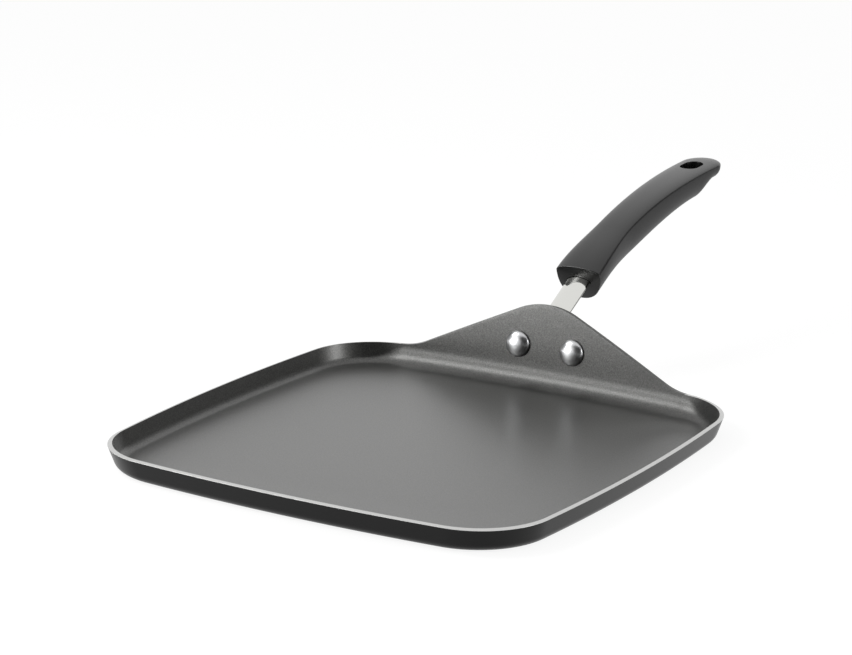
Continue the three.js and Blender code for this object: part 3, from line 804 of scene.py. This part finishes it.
def zinc_plate():
    """Zinc plated steel: a grey satin metal with faint clouding from the bath."""
    made, tree, output = new_material("zinc_plate")
    place = add(tree, "TexCoord").outputs["Object"]
    clouds = add(tree, "TexNoise", {"Vector": place, "Scale": 1 / CLOUD, "Detail": 3})
    roughness = add(tree, "MapRange", {"Value": clouds.outputs["Fac"], "To Min": 0.28, "To Max": 0.45})
    metal = add(tree, "BsdfPrincipled", {
        "Base Color": linear("#b4b6b8"),
        "Metallic": 1,
        "Roughness": roughness.outputs["Result"],
    })
    tree.links.new(metal.outputs["BSDF"], output.inputs["Surface"])
    return made


screw = skin("grip_screw_turned", turned(screw_profile(), *section_frame(SCREW_AT)), [zinc_plate()])
cut(screw, drive_rings(DRIVE_WIDTH, DRIVE_LENGTH), drive_rings(DRIVE_LENGTH, DRIVE_WIDTH))
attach(screw, "root")
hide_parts("grip_screw")


# Studio. A white floor runs out to a white surround. A key and a low lamp stand at the front left, a lamp on
# the floor lights the tab's face from below, and one on the right picks out the rivets' edges. Matt cards
# that only mirrors see keep the dark finishes and the bright metal from showing white all round. A grey card
# lying on the floor behind the pan is a painted shadow of the pan and grip, which only mirrors see.

FLOOR_SIZE = 30  # metres, and so are the places below
FLOOR_DROP = 0.2 * MM  # floor below the base, so that the two faces don't fight
FLOOR_GLOW = 0.87  # share of the floor's white that the eye sees whatever the light
SURROUND_FILL = 0.5  # light of the surround on matt things
TAB_FRONT = (0, 0.138, 0.02)  # foot of the tab, at which three of the lamps aim
PAN_MIDDLE = (0, 0.05, 0.02)


def seen_directly(tree):
    """Light Path switch: 1 for rays from the camera, mirrors and clear things, 0 for diffuse light."""
    path = add(tree, "LightPath").outputs
    mirrored = {0: path["Is Glossy Ray"], 1: path["Is Transmission Ray"]}
    either = add(tree, "Math", mirrored, operation="MAXIMUM").outputs[0]
    return add(tree, "Math", {0: path["Is Camera Ray"], 1: either}, operation="MAXIMUM").outputs[0]


def white_floor():
    """Matt white paper. Most of its white is light of its own to the eye, so only a pale shadow is left."""
    made, tree, output = new_material("white_floor")
    paper = add(tree, "BsdfDiffuse", {"Color": linear("#7c7c7c")})
    glow = add(tree, "Math", {0: seen_directly(tree), 1: FLOOR_GLOW}, operation="MULTIPLY")
    light = add(tree, "Emission", {"Strength": glow.outputs[0]})
    both = add(tree, "AddShader", {0: paper.outputs[0], 1: light.outputs[0]})
    tree.links.new(both.outputs[0], output.inputs["Surface"])
    return made


def matt_card(shade):
    """Dyed card with a matt face, which shows one even shade in a mirror."""
    made, tree, output = new_material("matt_card")
    dyed = add(tree, "BsdfDiffuse", {"Color": linear(shade)})
    tree.links.new(dyed.outputs[0], output.inputs["Surface"])
    return made


def panel(name, corners, finish):
    """Flat four-sided panel."""
    mesh = bpy.data.meshes.new(name)
    mesh.from_pydata(corners, [], [(0, 1, 2, 3)])
    mesh.materials.append(finish)
    made = bpy.data.objects.new(name, mesh)
    bpy.context.scene.collection.objects.link(made)
    return made


def facing(place, aim):
    """Rotation that turns a lamp or a card at a place to face a point."""
    return (Vector(aim) - Vector(place)).to_track_quat("-Z", "Y")


def softbox(name, place, aim, width, height, power):
    """Area lamp that the camera doesn't see."""
    lamp = bpy.data.lights.new(name, "AREA")
    lamp.shape = "RECTANGLE"
    lamp.size = width
    lamp.size_y = height
    lamp.energy = power
    made = bpy.data.objects.new(name, lamp)
    made.location = place
    made.rotation_euler = facing(place, aim).to_euler()
    made.visible_camera = False
    bpy.context.scene.collection.objects.link(made)


def card(name, place, aim, width, height, shade):
    """Matt card that only mirrors see, and that throws no shadow."""
    turn = facing(place, aim).to_matrix()
    corners = [Vector(place) + turn @ Vector((x * width / 2, y * height / 2, 0)) for x, y in CORNERS]
    made = panel(name, corners, matt_card(shade))
    made.visible_camera = False
    made.visible_diffuse = False
    made.visible_shadow = False


floor_half = FLOOR_SIZE / 2
panel("floor", [(x * floor_half, y * floor_half, -FLOOR_DROP) for x, y in CORNERS], white_floor())

softbox("key", place=(-0.555, -0.344, 0.67), aim=TAB_FRONT, width=0.3, height=0.42, power=3.1)
softbox("front", place=(-0.685, -0.805, 0.26), aim=TAB_FRONT, width=0.5, height=0.46, power=3.2)
softbox("reflector", place=(-0.375, -0.264, 0.005), aim=(-0.375, -0.264, 1), width=0.35, height=0.35, power=7)
softbox("right", place=(1.2, 0.2, 0.3), aim=TAB_FRONT, width=0.35, height=0.5, power=5)
card("front_card", place=(0.745, -0.93, 0.6), aim=PAN_MIDDLE, width=2.4, height=1.4, shade="#101010")
card("back_card", place=(0.46, 0.71, 0.375), aim=(0, 0.25, 0.375), width=0.55, height=0.75, shade="#a4a4a4")
# painted shadow: a grey card on the floor behind the pan stands in for the pan's and grip's shadow in mirrors
card("painted_shadow_card", place=(0.35, 0.69, 0.001), aim=(0.35, 0.69, 1), width=0.9, height=0.82, shade="#dadada")
card("left_card", place=(-1.1, -0.2, 0.45), aim=(0, -0.2, 0.45), width=1.1, height=0.9, shade="#808080")

scene = bpy.context.scene
scene.world = bpy.data.worlds.new("surround")
scene.world.use_nodes = True
surround = scene.world.node_tree
background = surround.nodes["Background"]
background.inputs["Color"].default_value = linear("#ffffff")
strength = add(surround, "MapRange", {"Value": seen_directly(surround), "To Min": SURROUND_FILL, "To Max": 1})
surround.links.new(strength.outputs["Result"], background.inputs["Strength"])
scene.view_settings.view_transform = "Standard"


# Camera. A long lens looks down on the pan from the front right, at the height and side that the picture was
# taken from.

VIEW_AZIMUTH = np.radians(31.644)
VIEW_ELEVATION = np.radians(15.78)
VIEW_ROLL = np.radians(-0.443)
VIEW_DISTANCE = 1855.6 * MM
VIEW_TARGET = np.array([-102.7, 171.0, 13.8]) * MM
LENS = 127.73  # millimetres, on a sensor 36 mm wide

level = np.array([np.sin(VIEW_AZIMUTH), -np.cos(VIEW_AZIMUTH), 0])
back = level * np.cos(VIEW_ELEVATION) + np.array([0, 0, np.sin(VIEW_ELEVATION)])
right = np.array([np.cos(VIEW_AZIMUTH), np.sin(VIEW_AZIMUTH), 0])
up = np.cross(back, right)
turned_right = np.cos(VIEW_ROLL) * right - np.sin(VIEW_ROLL) * up
turned_up = np.sin(VIEW_ROLL) * right + np.cos(VIEW_ROLL) * up
camera = bpy.data.objects.new("camera", bpy.data.cameras.new("camera"))
camera.data.lens = LENS
pose = np.eye(4)
pose[:3] = np.column_stack([turned_right, turned_up, back, VIEW_TARGET + VIEW_DISTANCE * back])
camera.matrix_world = Matrix(pose.tolist())
scene.collection.objects.link(camera)
scene.camera = camera
